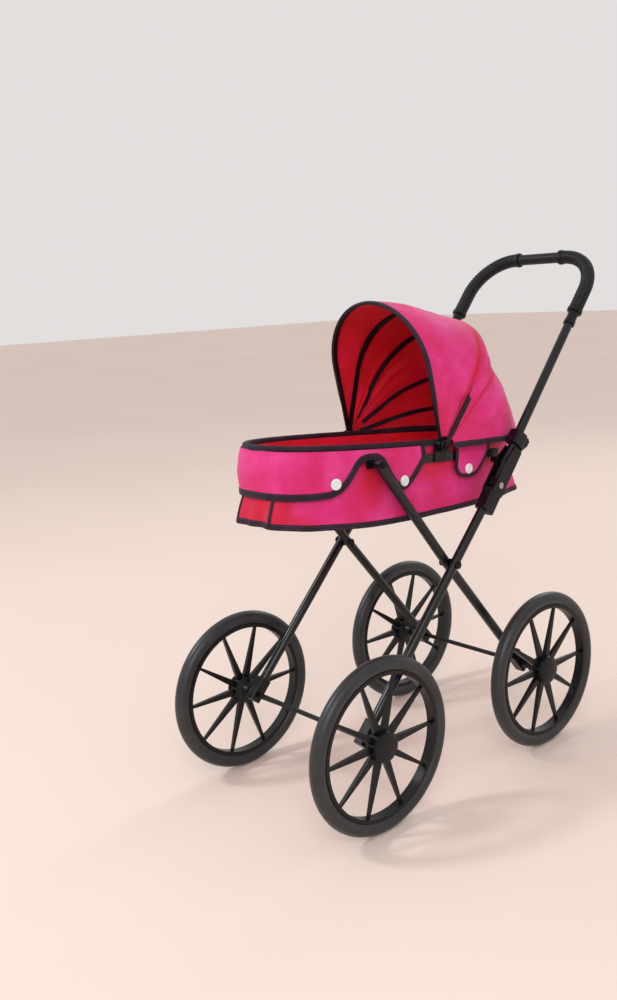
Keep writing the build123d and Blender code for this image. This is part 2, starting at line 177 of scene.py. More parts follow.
# ---- materials ----
# Noise is given as (scale, detail, roughness), and bump as (strength, distance in metres).

class Nodes:
    """A material's node tree, built one node at a time."""

    def __init__(self, name):
        self.material = bpy.data.materials.new(name)
        self.material.use_nodes = True
        self.tree = self.material.node_tree
        self.shader = self.tree.nodes["Principled BSDF"]

    def add(self, kind, inputs=None, **settings):
        node = self.tree.nodes.new(kind)
        for key, value in settings.items():
            setattr(node, key, value)
        for key, value in (inputs or {}).items():
            node.inputs[key].default_value = value
        return node

    def link(self, output, target):
        self.tree.links.new(output, target)

    def coordinates(self, kind):
        return self.add("ShaderNodeTexCoord").outputs[kind]

    def math(self, operation, *values):
        node = self.add("ShaderNodeMath", operation=operation)
        for slot, value in zip(node.inputs, values):
            if isinstance(value, float):
                slot.default_value = value
            else:
                self.link(value, slot)
        return node.outputs[0]

    def noise(self, scale, detail, roughness):
        texture = self.add("ShaderNodeTexNoise",
                           {"Scale": scale, "Detail": detail, "Roughness": roughness})
        self.link(self.coordinates("Object"), texture.inputs["Vector"])
        return texture.outputs["Fac"]

    def uv_wave(self, axis, pitch):
        """Sine wave along U (axis 0) or V (axis 1), which are in metres on every cloth and tape."""
        split = self.add("ShaderNodeSeparateXYZ")
        self.link(self.coordinates("UV"), split.inputs[0])
        return self.math("SINE", self.math("MULTIPLY", split.outputs[axis], 2 * pi / pitch))

    def colours(self, fac, *stops):
        """Colour ramp through (position, colour) stops."""
        node = self.add("ShaderNodeValToRGB")
        elements = node.color_ramp.elements
        while len(elements) < len(stops):
            elements.new(0.5)
        for element, (position, colour) in zip(elements, stops):
            element.position = position
            element.color = (*colour, 1)
        self.link(fac, node.inputs[0])
        return node.outputs[0]

    def mix(self, fac, output, colour):
        """The colour of an output, mixed towards a plain colour."""
        node = self.add("ShaderNodeMix", data_type="RGBA")
        slots = {slot.name: slot for slot in node.inputs if slot.enabled}
        self.link(fac, slots["Factor"])
        self.link(output, slots["A"])
        slots["B"].default_value = (*colour, 1)
        return next(slot for slot in node.outputs if slot.enabled)

    def spread(self, value, low, high):
        """A value of 0 to 1, mapped to low to high."""
        node = self.add("ShaderNodeMapRange", {"To Min": low, "To Max": high})
        self.link(value, node.inputs["Value"])
        return node.outputs[0]

    def bump(self, height, strength, distance, under=None):
        node = self.add("ShaderNodeBump", {"Strength": strength, "Distance": distance})
        self.link(height, node.inputs["Height"])
        if under is not None:
            self.link(under, node.inputs["Normal"])
        return node.outputs[0]

    def surface(self, colour, roughness, normal, values):
        """Links the shader's colour, roughness and normal, and sets its other inputs."""
        for name, output in (("Base Color", colour), ("Roughness", roughness), ("Normal", normal)):
            if output is not None:
                self.link(output, self.shader.inputs[name])
        for name, value in values.items():
            self.shader.inputs[name].default_value = value
        return self.material


CLOTH_PATCHES, CLOTH_SLUB, CLOTH_CREASES = (26.0, 3.0, 0.6), (420.0, 2.0, 0.5), (95.0, 4.0, 0.62)
WEAVE_SHARE, SLUB_SHARE = 0.22, 0.16
CREASE_BUMP, WEAVE_BUMP = (0.22, 0.0009), (0.35, 0.00022)
TAPE_RIB, TAPE_WEAR, TAPE_BUMP = 0.0012, (60.0, 4.0, 0.6), (0.4, 0.0002)
STEEL_STREAKS = (220.0, 4.0, 0.6)
PAINT = {"dust": (38.0, 5.0, 0.65), "grain": (900.0, 2.0, 0.5), "stops": (0.45, 0.8),
         "rougher": (-0.05, 0.1), "bump": (0.3, 0.00004)}
RUBBER = {"dust": (30.0, 5.0, 0.7), "grain": (1500.0, 2.0, 0.5), "stops": (0.4, 0.75),
          "rougher": (-0.06, 0.08), "bump": (0.35, 0.00008)}


def cloth_material(name, base, deep, pale, shadow, roughness=0.62, pitch=0.0011, tint=(1, 0.6, 0.75)):
    """Woven polyester: weave, slub, deep and faded patches, `shadow` as painted shade in the folds, and a soft
    sheen.
    """
    n = Nodes(name)
    weave = n.math("MULTIPLY_ADD", n.math("MULTIPLY", n.uv_wave(0, pitch), n.uv_wave(1, pitch)), 0.5, 0.5)
    patches, slub = n.noise(*CLOTH_PATCHES), n.noise(*CLOTH_SLUB)
    colour = n.colours(patches, (0.28, deep), (0.5, base), (0.74, pale))
    colour = n.mix(n.spread(weave, 0.0, WEAVE_SHARE), colour, deep)
    colour = n.mix(n.spread(slub, 0.0, SLUB_SHARE), colour, pale)
    # Painted shade: the fold attribute mixes the cloth towards its painted shade colour.
    fold = n.add("ShaderNodeAttribute", attribute_name="fold")
    colour = n.mix(fold.outputs["Fac"], colour, shadow)
    height = n.math("ADD", n.math("MULTIPLY", weave, 0.7), n.math("MULTIPLY", slub, 0.5))
    creases = n.bump(n.noise(*CLOTH_CREASES), *CREASE_BUMP)
    return n.surface(colour, n.spread(patches, roughness - 0.08, roughness + 0.08),
                     n.bump(height, *WEAVE_BUMP, creases),
                     {"Sheen Weight": 0.2, "Sheen Roughness": 0.45, "Sheen Tint": (*tint, 1),
                      "Specular IOR Level": 0.25})


def tape_material(name, base, pale):
    """Ribbed binding tape with worn, paler high spots."""
    n = Nodes(name)
    rib, wear = n.uv_wave(0, TAPE_RIB), n.noise(*TAPE_WEAR)
    colour = n.mix(n.spread(rib, 0.0, 0.25), n.colours(wear, (0.35, base), (0.72, pale)), base)
    return n.surface(colour, n.spread(wear, 0.55, 0.75), n.bump(rib, *TAPE_BUMP),
                     {"Sheen Weight": 0.08, "Sheen Tint": (0.8, 0.5, 0.8, 1), "Specular IOR Level": 0.25})


def moulded_material(name, kind, base, worn, roughness, specular=0.3, coat=0.0):
    """Paint, plastic or rubber: fine grain, roughness that varies, and dusty patches."""
    n = Nodes(name)
    dust, grain = n.noise(*kind["dust"]), n.noise(*kind["grain"])
    smoother, rougher = kind["rougher"]
    return n.surface(n.colours(dust, *zip(kind["stops"], (base, worn))),
                     n.spread(dust, roughness + smoother, roughness + rougher),
                     n.bump(grain, *kind["bump"]),
                     {"Specular IOR Level": specular, "Coat Weight": coat, "Coat Roughness": 0.2})


def metal_material(name, low, high):
    """Plated steel with fine polishing streaks."""
    n = Nodes(name)
    streaks = n.noise(*STEEL_STREAKS)
    return n.surface(n.colours(streaks, (0.3, low), (0.7, high)), n.spread(streaks, 0.25, 0.42), None,
                     {"Metallic": 1.0})


# The fourth colour of each cloth is its painted shade colour, mixed in where the fold attribute is set.
PINK = cloth_material("pink_cloth", (0.67, 0.020, 0.185), (0.60, 0.008, 0.085), (0.75, 0.060, 0.30),
                      (0.55, 0.004, 0.018))
RED = cloth_material("red_lining", (0.80, 0.010, 0.026), (0.62, 0.008, 0.014), (0.84, 0.014, 0.085),
                     (0.42, 0.004, 0.012), tint=(1, 0.45, 0.5))
TAPE = tape_material("dark_binding", (0.010, 0.004, 0.010), (0.028, 0.013, 0.028))
THREAD = tape_material("thread", (0.05, 0.03, 0.05), (0.12, 0.08, 0.11))
PINK_THREAD = tape_material("pink_thread", (0.55, 0.012, 0.1), (0.75, 0.05, 0.22))
TUBE = moulded_material("black_tube_paint", PAINT, (0.002, 0.004, 0.006), (0.006, 0.008, 0.011), 0.25,
                        specular=0.45)
ROD = moulded_material("black_rod_paint", PAINT, (0.003, 0.004, 0.005), (0.008, 0.009, 0.011), 0.36)
PLASTIC = moulded_material("black_plastic", PAINT, (0.002, 0.003, 0.005), (0.006, 0.008, 0.010), 0.30)
BOW = moulded_material("bow_plastic", PAINT, (0.004, 0.003, 0.005), (0.010, 0.008, 0.011), 0.42)
WHEEL = moulded_material("wheel_plastic", PAINT, (0.002, 0.003, 0.004), (0.006, 0.007, 0.009), 0.32)
TYRE = moulded_material("tyre_foam", RUBBER, (0.013, 0.015, 0.018), (0.030, 0.032, 0.036), 0.38,
                        specular=0.5)
GRIP = moulded_material("grip_rubber", RUBBER, (0.002, 0.003, 0.005), (0.008, 0.010, 0.013), 0.44)
STEEL = metal_material("zinc_steel", (0.30, 0.30, 0.32), (0.52, 0.52, 0.54))
BLACKENED = metal_material("blackened_steel", (0.010, 0.010, 0.012), (0.030, 0.030, 0.034))
SNAP = moulded_material("snap_white", PAINT, (0.82, 0.82, 0.84), (0.70, 0.69, 0.70), 0.3, coat=0.3)
BOARD = cloth_material("board_cloth", (0.42, 0.006, 0.014), (0.26, 0.003, 0.008), (0.55, 0.014, 0.035),
                       (0.3, 0.003, 0.01), roughness=0.75, pitch=0.0015, tint=(1, 0.4, 0.4))

SLOT_MATERIAL = {"black_tube": TUBE, "black_rod": ROD, "black_plastic": PLASTIC, "bow_plastic": BOW,
                 "wheel_plastic": WHEEL, "tyre": TYRE, "grip": GRIP, "bright_steel": STEEL,
                 "pink_fabric": PINK, "red_lining": RED, "binding": TAPE, "snap_white": SNAP,
                 "base_board": BOARD}
DARK_PINS = ("leg_pivot_pins", "hood_pivot_pins", "scissor_rivets", "scissor_washers")


def paint_cad_nodes():
    """Each node takes its slot's finish, and the pins that are black on the pram are blackened."""
    slots = {part["node"]: part["material_slot"] for part in record["subparts"]}
    for name, node in frame["nodes"].items():
        node.data.materials.clear()
        node.data.materials.append(BLACKENED if name in DARK_PINS else SLOT_MATERIAL[slots[name]])


# ---- mesh building ----

SHARP_ANGLE = 50
STITCH_PITCH, STITCH_LENGTH, STITCH_RADIUS, STITCH_SINK = 3.1, 2.1, 0.3, 0.35
STITCH_RING = ((1, 0), (0.5, 0.87), (-0.5, 0.87), (-1, 0), (-0.5, -0.87), (0.5, -0.87))
STITCH_PROFILE = ((-0.5, 0.15), (-0.32, 0.85), (0.0, 1.0), (0.32, 0.85), (0.5, 0.15))


def make_object(name, points, faces, materials, uvs=None, face_material=None):
    mesh = bpy.data.meshes.new(name)
    mesh.from_pydata([tuple(p) for p in points], [], faces)
    for material in materials:
        mesh.materials.append(material)
    if face_material is not None:
        mesh.polygons.foreach_set("material_index", np.asarray(face_material, np.int32))
    mesh.polygons.foreach_set("use_smooth", [True] * len(mesh.polygons))
    uvs = np.zeros((len(points), 2)) if uvs is None else uvs
    corner = np.zeros(len(mesh.loops), np.int32)
    mesh.loops.foreach_get("vertex_index", corner)
    mesh.uv_layers.new(name="UVMap").data.foreach_set("uv", np.asarray(uvs, np.float32)[corner].ravel())
    mesh.update()
    obj = bpy.data.objects.new(name, mesh)
    bpy.context.scene.collection.objects.link(obj)
    return obj


def grid_lengths(grid):
    """Distance along each grid direction from its first row and column."""
    across = np.linalg.norm(np.diff(grid, axis=0), axis=2)
    down = np.linalg.norm(np.diff(grid, axis=1), axis=2)
    u = np.concatenate([np.zeros((1, grid.shape[1])), np.cumsum(across, 0)])
    v = np.concatenate([np.zeros((grid.shape[0], 1)), np.cumsum(down, 1)], 1)
    return u, v


def path_steps(path, closed):
    """Direction of a path, or of each column of a grid, at its points."""
    if closed:
        return np.roll(path, -1, 0) - np.roll(path, 1, 0)
    return np.gradient(path, axis=0)


def outward_normals(grid, outward, closed=False):
    """Unit normals of a grid of points, on the side of the `outward` directions."""
    normals = unit(np.cross(path_steps(grid, closed), np.gradient(grid, axis=1)))
    return -normals if np.sum(normals * outward) < 0 else normals


def sheet_faces(rows, columns, closed, flip):
    """Quads of a two-faced sheet with closed edges, and each quad's material index."""
    count = rows * columns
    faces, kinds = [], []

    def quad(a, b, c, d, kind, turned):
        faces.append((a, d, c, b) if turned else (a, b, c, d))
        kinds.append(kind)

    for i in range(rows if closed else rows - 1):
        k = (i + 1) % rows
        for j in range(columns - 1):
            a, b = i * columns + j, k * columns + j
            quad(a, b, b + 1, a + 1, 0, flip)
            quad(a + count, b + count, b + 1 + count, a + 1 + count, 1, not flip)
        for j, turned in ((0, not flip), (columns - 1, flip)):
            a, b = i * columns + j, k * columns + j
            quad(a, b, b + count, a + count, 0, turned)
    if not closed:
        for i, turned in ((0, flip), (rows - 1, not flip)):
            for a in range(i * columns, (i + 1) * columns - 1):
                quad(a, a + 1, a + 1 + count, a + count, 0, turned)
    return faces, kinds


def cloth(name, grid, normals, thickness, outside=PINK, closed=False, fold=None):
    """Two-faced sheet, red inside. The grid is its outer surface, `fold` is a painted shade mask, 1 in its creases
    where shade is painted.
    """
    rows, columns = grid.shape[:2]
    points = np.concatenate([grid.reshape(-1, 3), (grid - normals * thickness * MM).reshape(-1, 3)])
    flip = np.sum(np.cross(grid[1, 0] - grid[0, 0], grid[0, 1] - grid[0, 0]) * normals[0, 0]) < 0
    faces, kinds = sheet_faces(rows, columns, closed, flip)
    u, v = grid_lengths(grid)
    uvs = np.tile(np.stack([u.ravel(), v.ravel()], 1), (2, 1))
    obj = make_object(name, points, faces, [outside, RED], uvs, kinds)
    # Painted shade: the fold attribute holds where shade is painted on the outer face.
    shade = np.zeros((2, rows * columns), np.float32)
    if fold is not None:
        shade[0] = np.clip(fold, 0, 1).ravel()
    obj.data.attributes.new("fold", "FLOAT", "POINT").data.foreach_set("value", shade.ravel())
    obj.data.set_sharp_from_angle(angle=radians(SHARP_ANGLE))
    return obj


def ring_faces(rings, size, closed=False, inward=False, capped=True):
    """Quads between rings of `size` points, with caps where the ends are open."""
    faces = []
    for i in range(rings if closed else rings - 1):
        k = (i + 1) % rings
        for j in range(size):
            m = (j + 1) % size
            a, b, c, d = i * size + j, i * size + m, k * size + m, k * size + j
            faces.append((a, d, c, b) if inward else (a, b, c, d))
    if capped and not closed:
        first = tuple(range(size))
        last = tuple(range((rings - 1) * size, rings * size))
        faces += [first, last[::-1]] if inward else [first[::-1], last]
    return faces


def repeat_faces(faces, step, times):
    """One piece's faces, for `times` pieces of `step` points each."""
    return [tuple(base + v for v in face) for base in range(0, step * times, step) for face in faces]


def strip_section(half_width, half_depth, powers=(0.55, 0.7), count=14):
    """Rounded strip. The lower the powers are, the flatter its faces."""
    angles = [2 * pi * k / count for k in range(count)]
    return np.array([(half_width * signed_power(cos(a), powers[0]),
                      half_depth * signed_power(sin(a), powers[1])) for a in angles])


def sweep(name, path, facing, section, closed=False, scale=None):
    """Tape: a section of (side, out) millimetres along a path, its `out` along the facing normals."""
    path, facing = np.asarray(path), np.asarray(facing)
    tangent = unit(path_steps(path, closed))
    side = unit(np.cross(tangent, facing))
    out = unit(np.cross(side, tangent))
    size = len(section)
    scale = np.ones(len(path)) if scale is None else np.asarray(scale)
    reach = section[None] * MM * scale[:, None, None]
    points = path[:, None] + side[:, None] * reach[:, :, 0:1] + out[:, None] * reach[:, :, 1:2]
    turns = np.linalg.norm(np.diff(section, axis=0, append=section[:1]), axis=1)
    uvs = np.stack([np.repeat(arc_lengths(path), size), np.tile(np.cumsum(turns) * MM, len(path))], 1)
    faces = ring_faces(len(path), size, closed, inward=True)
    return make_object(name, points.reshape(-1, 3), faces, [TAPE], uvs)


def stitch_row(name, path, facing, lift, offset=0.0, material=THREAD, closed=False):
    """Row of separate thread stitches, `offset` beside a path and `lift` above it."""
    path, facing = np.asarray(path), np.asarray(facing)
    if closed:
        path, facing = np.concatenate([path, path[:1]]), np.concatenate([facing, facing[:1]])
    along = arc_lengths(path)
    count = max(2, int(along[-1] / (STITCH_PITCH * MM)))
    tangent = unit(np.gradient(path, axis=0))
    points = []
    for k in range(count):
        at = (k + 0.5) / count * along[-1]
        here = interpolate(at, along, path)
        turn = unit(interpolate(at, along, tangent))
        side = unit(np.cross(turn, interpolate(at, along, facing)))
        up = np.cross(side, turn)
        for reach, size in STITCH_PROFILE:
            centre = (here + turn * reach * STITCH_LENGTH * MM + side * offset * MM
                      + up * (lift - (1 - size) * STITCH_SINK) * MM)
            points += [centre + (side * a + up * b) * STITCH_RADIUS * size * MM for a, b in STITCH_RING]
    one = ring_faces(len(STITCH_PROFILE), len(STITCH_RING))
    faces = repeat_faces(one, len(STITCH_PROFILE) * len(STITCH_RING), count)
    return make_object(name, points, faces, [material])


def circle_ring(centre, first, second, radius, count):
    """Points round a circle in the plane of two unit directions."""
    angles = [2 * pi * k / count for k in range(count)]
    return [centre + (first * cos(a) + second * sin(a)) * radius * MM for a in angles]


def revolved(name, profile, places, material, segments=32):
    """One lathe profile of (radius, height) millimetres, set at each (origin, axis)."""
    points = []
    for origin, axis in places:
        axis = unit(np.asarray(axis, float))
        first = unit(np.cross(axis, [0.0, 0.0, 1.0]))
        second = np.cross(axis, first)
        for radius, height in profile:
            points += circle_ring(origin + axis * height * MM, first, second, radius, segments)
    one = ring_faces(len(profile), segments)
    faces = repeat_faces(one, len(profile) * segments, len(places))
    return make_object(name, points, faces, [material])


def declare_sheet(grid, closed=False):
    """Repeats a closed grid's first row at its end, and does nothing else with it."""
    if closed:
        grid = np.concatenate([grid, grid[:1]])


def ride(obj, body):
    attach(obj, body)
    return obj


def on_bassinet(obj):
    """A tape or thread that is sewn to the bassinet."""
    return ride(obj, "bassinet")


# ---- bassinet cloth ----

RIM, RIM_COLUMNS, RIM_TAPE = (64.5, -170.0, 180.5, 2.6), 420, strip_section(3.75, 3.05, (0.8, 0.8), 18)
RIM_TAPE_H, RIM_STITCH_H, PUCKER, PUCKER_LENGTH = -0.4, -2.6, 0.035, 0.009

TUB_THICKNESS, TUB_COLUMNS, TUB_ROWS = 1.1, 220, np.linspace(-2.0, -51.0, 18)
TUB_SAG, SAG_TOP, SAG_LOW = 0.9, -4, -50
TUB_WALL = [(-2.0, (62.4, -167.0, 177.5, 2.6)), (-20.0, (61.3, -165.0, 175.5, 2.6)),
            (-50.0, (57.8, -158.0, 169.5, 2.6))]
TUB_DEPTH, TUB_TURN_IN = -56.3, ((-53.6, 0.5), (-55.3, 1.8), (-56.1, 4.2), (-56.3, 8.0))
TUB_SHRINK = (0.86, 0.72, 0.56, 0.4, 0.24, 0.1, 0.02)

BOARD_OVAL, BOARD_TOP, BOARD_UNDER, BOARD_COLUMNS = (55.5, -154.0, 165.5, 2.6), -52.0, -55.5, 200
BOARD_EDGE = ((6.0, BOARD_UNDER), (1.0, BOARD_UNDER), (0.2, -55.2), (0.0, -54.5), (0.0, -53.2),
              (0.5, -52.5), (2.0, -52.15), (6.0, BOARD_TOP))
BOARD_SHRINK, BOARD_WAVE, BOARD_WAVE_LENGTH = (0.8, 0.6, 0.4, 0.2, 0.03), 0.25, 0.035

SKIRT_THICKNESS, SKIRT_COLUMNS, SKIRT_ROWS, SKIRT_TOP = 1.0, 420, 30, -2.5
SKIRT_LEVELS = [(SKIRT_TOP, (65.7, -171.3, 181.8, 2.6)), (-22.0, (66.1, -170.4, 184.0, 2.7)),
                (-46.0, (66.4, -169.6, 189.2, 2.8)), (-85.0, (68.8, -177.5, 198.0, 3.0))]
SKIRT_WAVES = ((0.6, 9, 0.6, 0.02), (0.4, 17, 2.1, -0.015))  # size, waves round, phase, slant per mm
QUIET_SIDE, QUIET_SHARE = (25, 120), 0.35
HEM_TAPE, SEAM_TAPE = strip_section(3.1, 1.15), strip_section(1.9, 0.7)
CORNER_SEAM, CORNER_ROW, SEAM_FIRST_ROW = (25, -176, -60), 24, 8

VALANCE_THICKNESS, VALANCE_COLUMNS, VALANCE_ROWS, VALANCE_END = 1.0, 420, 22, -9.9
VALANCE_TOP = (69.0, -172.6, 185.4, 2.75)
VALANCE_LOW = (71.8, -174.4, 187.0, 2.8)
VALANCE_EDGE = [(-178, -45.5), (-160, -45.5), (-140, -45.2), (-125, -43.5), (-116, -39.5), (-109, -33),
                (-103, -25), (-97, -15.5), (-91, -11), (-84, -9.2), (-73, -9.2), (-67.5, -12.5), (-62, -20),
                (-56, -29), (-50, -36.5), (-44.5, -40.8), (-39, -42), (-33.5, -40), (-28, -35.5),
                (-20, -27), (-12.5, -18), (-10.2, -14), (-10, -12)]
VALANCE_TAPE, VALANCE_TAPE_STEPS, VALANCE_MIDDLE_Y = strip_section(3.6, 1.15), 620, 60

TAB_THICKNESS, TAB_COLUMNS, TAB_ROWS, TAB_TOP, TAB_X = 0.9, 60, 16, -3.5, 70.5
TAB_EDGE = [(42, -28), (43.5, -31), (46.5, -35), (52, -37.4), (62, -38), (69, -37.2), (75, -34.6),
            (82, -27), (88, -18.5), (92, -9)]
TAB_TAPE, TAB_TAPE_STEPS = strip_section(2.1, 1.0), 130

SNAP_PROFILE = ((0.05, 1.1), (1.3, 1.15), (1.7, 0.45), (2.4, 0.45), (2.8, 1.6), (3.7, 1.5), (4.7, 1.2),
                (5.45, 0.7), (5.75, 0.1), (5.6, -0.5))
VALANCE_SNAPS, SNAP_LIFT, TAB_SNAP = ((-120.6, -33.6), (-38.1, -35.7)), 0.9, (71.4, 60.6, -30.5)


def rim_binding():
    loop = oval_loop(RIM, RIM_COLUMNS)
    path = [bassinet_point(x, y, RIM_TAPE_H) for x, y in loop]
    facing = [oval_normal(RIM, x, y) for x, y in loop]
    pucker = [1 + PUCKER * ripple(p, PUCKER_LENGTH, 3.0) for p in path]
    tape = sweep("rim_binding_tape", path, facing, RIM_TAPE, closed=True, scale=pucker)
    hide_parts("rim_binding")
    on_bassinet(tape)
    lower = [bassinet_point(x, y, RIM_STITCH_H) for x, y in loop]
    on_bassinet(stitch_row("rim_stitches", lower, facing, lift=2.75, closed=True))


def tub_point(oval, x, y, h):
    """Point of the tub's lining, sagging inwards between the rim and the board."""
    point = bassinet_point(x, y, h)
    if SAG_LOW < h < SAG_TOP:
        down = (h - TUB_ROWS[0]) / (TUB_ROWS[-1] - TUB_ROWS[0])
        sag = TUB_SAG * sin(pi * down) * (1 + ripple(point, 0.03, 5.0))
        point = point - oval_normal(oval, x, y) * MM * sag
    return point


def tub():
    """Lining: the wall goes down from the rim and turns in under the board."""
    rows = [(h, 0.0, 1.0) for h in TUB_ROWS]
    rows += [(h, inset, 1.0) for h, inset in TUB_TURN_IN]
    rows += [(TUB_DEPTH, TUB_TURN_IN[-1][1], shrink) for shrink in TUB_SHRINK]
    columns = []
    for h, inset, shrink in rows:
        oval = inset_oval(oval_at(TUB_WALL, max(h, TUB_WALL[-1][0])), inset)
        columns.append([tub_point(oval, x, y, h) for x, y in oval_loop(oval, TUB_COLUMNS, shrink)])
    grid = np.array(columns).swapaxes(0, 1)
    normals = outward_normals(grid, grid - bassinet_point(0, RIM_CENTRE_Y, -20), closed=True)
    lining = cloth("tub_lining", grid, normals, TUB_THICKNESS, RED, closed=True)
    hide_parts("tub")
    ride(lining, "bassinet")
    declare_sheet(grid, closed=True)


def base_board():
    """Stiff board in a glued cloth cover, with rolled edges."""
    inner = inset_oval(BOARD_OVAL, BOARD_EDGE[0][0])
    middle = oval_loop(inner, BOARD_COLUMNS, BOARD_SHRINK[-1])
    rings = [[bassinet_point(x, y, BOARD_UNDER) for x, y in middle]]
    for inset, h in BOARD_EDGE:
        loop = oval_loop(inset_oval(BOARD_OVAL, inset), BOARD_COLUMNS)
        rings.append([bassinet_point(x, y, h) for x, y in loop])
    for shrink in BOARD_SHRINK:
        ring = [bassinet_point(x, y, BOARD_TOP) for x, y in oval_loop(inner, BOARD_COLUMNS, shrink)]
        rings.append([p + BASSINET_UP * BOARD_WAVE * MM * ripple(p, BOARD_WAVE_LENGTH, 9.0) for p in ring])
    points = np.array(rings).reshape(-1, 3)
    faces = ring_faces(len(rings), BOARD_COLUMNS)
    board = make_object("board_in_cover", points, faces, [BOARD], points[:, :2])
    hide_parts("base_board")
    ride(board, "bassinet")


def hem_height(y):
    return -73.5 + 0.062 * y + 0.00036 * min(y, 0) ** 2


def skirt_offset(x, y, h):
    """How far a fold stands out from the skirt, in millimetres: most at the ends and the hem."""
    fall = ramp(-h, 18, 55) * (0.45 + 0.55 * ramp(-h, 44, 20))
    amount = fall * (1.5 + 2.2 * ramp(abs(y - RIM_CENTRE_Y), 95, 70))
    if QUIET_SIDE[0] < y < QUIET_SIDE[1]:
        amount *= QUIET_SHARE
    turn = np.arctan2(y - RIM_CENTRE_Y, x * 2.6)
    wave = sum(size * sin(count * turn + phase + slant * h) for size, count, phase, slant in SKIRT_WAVES)
    point = bassinet_point(x, y, h * 0.35)
    return amount * (wave + 0.7 * ripple(point, 0.035, 1.0)) + 0.5 * fall * ripple(point, 0.014, 2.0)


def skirt_painted_shade(grid):
    """Painted shade: redder where the cloth turns away under the valance, the arch and the rail, and at the foot.
    """
    local = grid - RIM_CENTRE
    y = local @ BASSINET_ALONG / MM + RIM_CENTRE_Y
    h = local @ BASSINET_UP / MM
    foot = 0.85 * ramp(-y, 148, 14)
    arch = 0.9 * hump(y, -76, 20) * ramp(h, -74, 40)
    rail = 0.7 * ramp(y, -30, 24) * ramp(h, -46, 22) * ramp(-y, -150, 40)
    diagonal = 0.75 * hump(y + (h + 75) * 0.9, -152, 11)
    return np.maximum.reduce([foot, arch, rail, diagonal])


def skirt_grid():
    """Each column keeps its direction from the middle as the oval widens towards the hem."""
    grid = np.zeros((SKIRT_COLUMNS, SKIRT_ROWS + 1, 3))
    half_top, foot_top, head_top, _ = top = SKIRT_LEVELS[0][1]
    for i, (x_top, y_top) in enumerate(oval_loop(top, SKIRT_COLUMNS)):
        share_x = x_top / half_top
        share_y = (y_top - RIM_CENTRE_Y) / (head_top - foot_top) * 2
        drop = hem_height(y_top * 1.05) - SKIRT_TOP
        for j in range(SKIRT_ROWS + 1):
            h = SKIRT_TOP + drop * j / SKIRT_ROWS
            oval = half, foot, head, exponent = oval_at(SKIRT_LEVELS, h)
            scale = (abs(share_x) ** exponent + abs(share_y) ** exponent) ** (-1 / exponent)
            x = half * share_x * scale
            y = (foot + head) / 2 + (head - foot) / 2 * share_y * scale
            grid[i, j] = bassinet_point(x, y, h) + oval_normal(oval, x, y) * MM * skirt_offset(x, y, h)
    return grid


def skirt_tapes(grid, normals):
    """Hem binding with two rows of stitches, and the seams beside the foot."""
    facing = normals[:, -1]
    hem_path = grid[:, -1] - facing * 0.5 * MM
    pieces = [sweep("skirt_hem_binding", hem_path, facing, HEM_TAPE, closed=True),
              stitch_row("hem_stitches", hem_path, facing, lift=1.1, offset=1.3, closed=True),
              stitch_row("hem_stitches_lower", hem_path, facing, lift=1.1, offset=-1.3, closed=True)]
    x, y, h = CORNER_SEAM
    for name, sign in SIDES:
        target = bassinet_point(sign * x, y, h)
        column = int(np.argmin(np.linalg.norm(grid[:, CORNER_ROW] - target, axis=1)))
        facing = normals[column, SEAM_FIRST_ROW:]
        path = grid[column, SEAM_FIRST_ROW:] + facing * 0.3 * MM
        pieces.append(sweep(f"skirt_corner_seam_{name}", path, facing, SEAM_TAPE))
        pieces.append(stitch_row(f"corner_seam_stitches_{name}", path, facing, lift=0.65))
    return [on_bassinet(piece) for piece in pieces]


def skirt():
    grid = skirt_grid()
    normals = outward_normals(grid, grid - bassinet_point(0, RIM_CENTRE_Y, -40), closed=True)
    # Painted shade under the valance, the arch and the rail and at the foot goes into the fold attribute.
    skirt_cloth = cloth("skirt_cloth", grid, normals, SKIRT_THICKNESS, closed=True, fold=skirt_painted_shade(grid))
    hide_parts("skirt")
    ride(skirt_cloth, "bassinet")
    pieces = skirt_tapes(grid, normals)
    declare_sheet(grid, closed=True)


def side_and_lower_edges(grid):
    """Points down the first column, along the lower edge and up the last column."""
    return np.concatenate([grid[0, :-1], grid[:, -1], grid[-1, -2::-1]])


def valance_point(x, y, h):
    """Point of the valance, which bellies out and folds most at the foot end."""
    out, top = oval_normal(VALANCE_LOW, x, y), oval_normal(VALANCE_TOP, x, y)
    share, end = ramp(-h, 1, 12), ramp(-y, 110, 50)
    base = bassinet_point(x, y, h) - top * MM * 1.9 * (1 - share)
    belly = 0.54 * sin(pi * min(1, -h / 46))
    fold = ripple(base, 0.03, 7.0) * 1.1 + ripple(base, 0.012, 8.0) * 0.35
    tuck = -1.6 * end * ramp(-h, 24, 22)
    return base + out * MM * (belly * end + fold * share * (0.3 + end) + tuck)


def valance():
    """Upper layer round the foot end, its scalloped edge bound in tape."""
    arc = [p for p in dense_oval(VALANCE_LOW, 2880) if p[1] < VALANCE_END]
    line = resample(sorted(arc, key=lambda p: np.arctan2(p[1] - VALANCE_MIDDLE_Y, p[0])), VALANCE_COLUMNS)
    edge_y, edge_h = zip(*VALANCE_EDGE)
    heights = [np.linspace(-2.0, np.interp(y, edge_y, edge_h), VALANCE_ROWS + 1) for x, y in line]
    grid = np.array([[valance_point(x, y, h) for h in column] for (x, y), column in zip(line, heights)])
    normals = outward_normals(grid, grid - bassinet_point(0, 0, -20))
    valance_cloth = cloth("valance_cloth", grid, normals, VALANCE_THICKNESS)
    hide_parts("valance")
    ride(valance_cloth, "bassinet")
    edge = resample(side_and_lower_edges(np.concatenate([grid, normals], 2)), VALANCE_TAPE_STEPS)
    facing = unit(edge[:, 3:])
    path = edge[:, :3] - facing * 0.45 * MM
    pieces = [sweep("valance_binding", path, facing, VALANCE_TAPE),
              stitch_row("valance_stitches", path, facing, lift=1.05, offset=2.3),
              stitch_row("valance_stitches_lower", path, facing, lift=1.05, offset=-2.3)]
    pieces = [on_bassinet(piece) for piece in pieces]
    declare_sheet(grid)


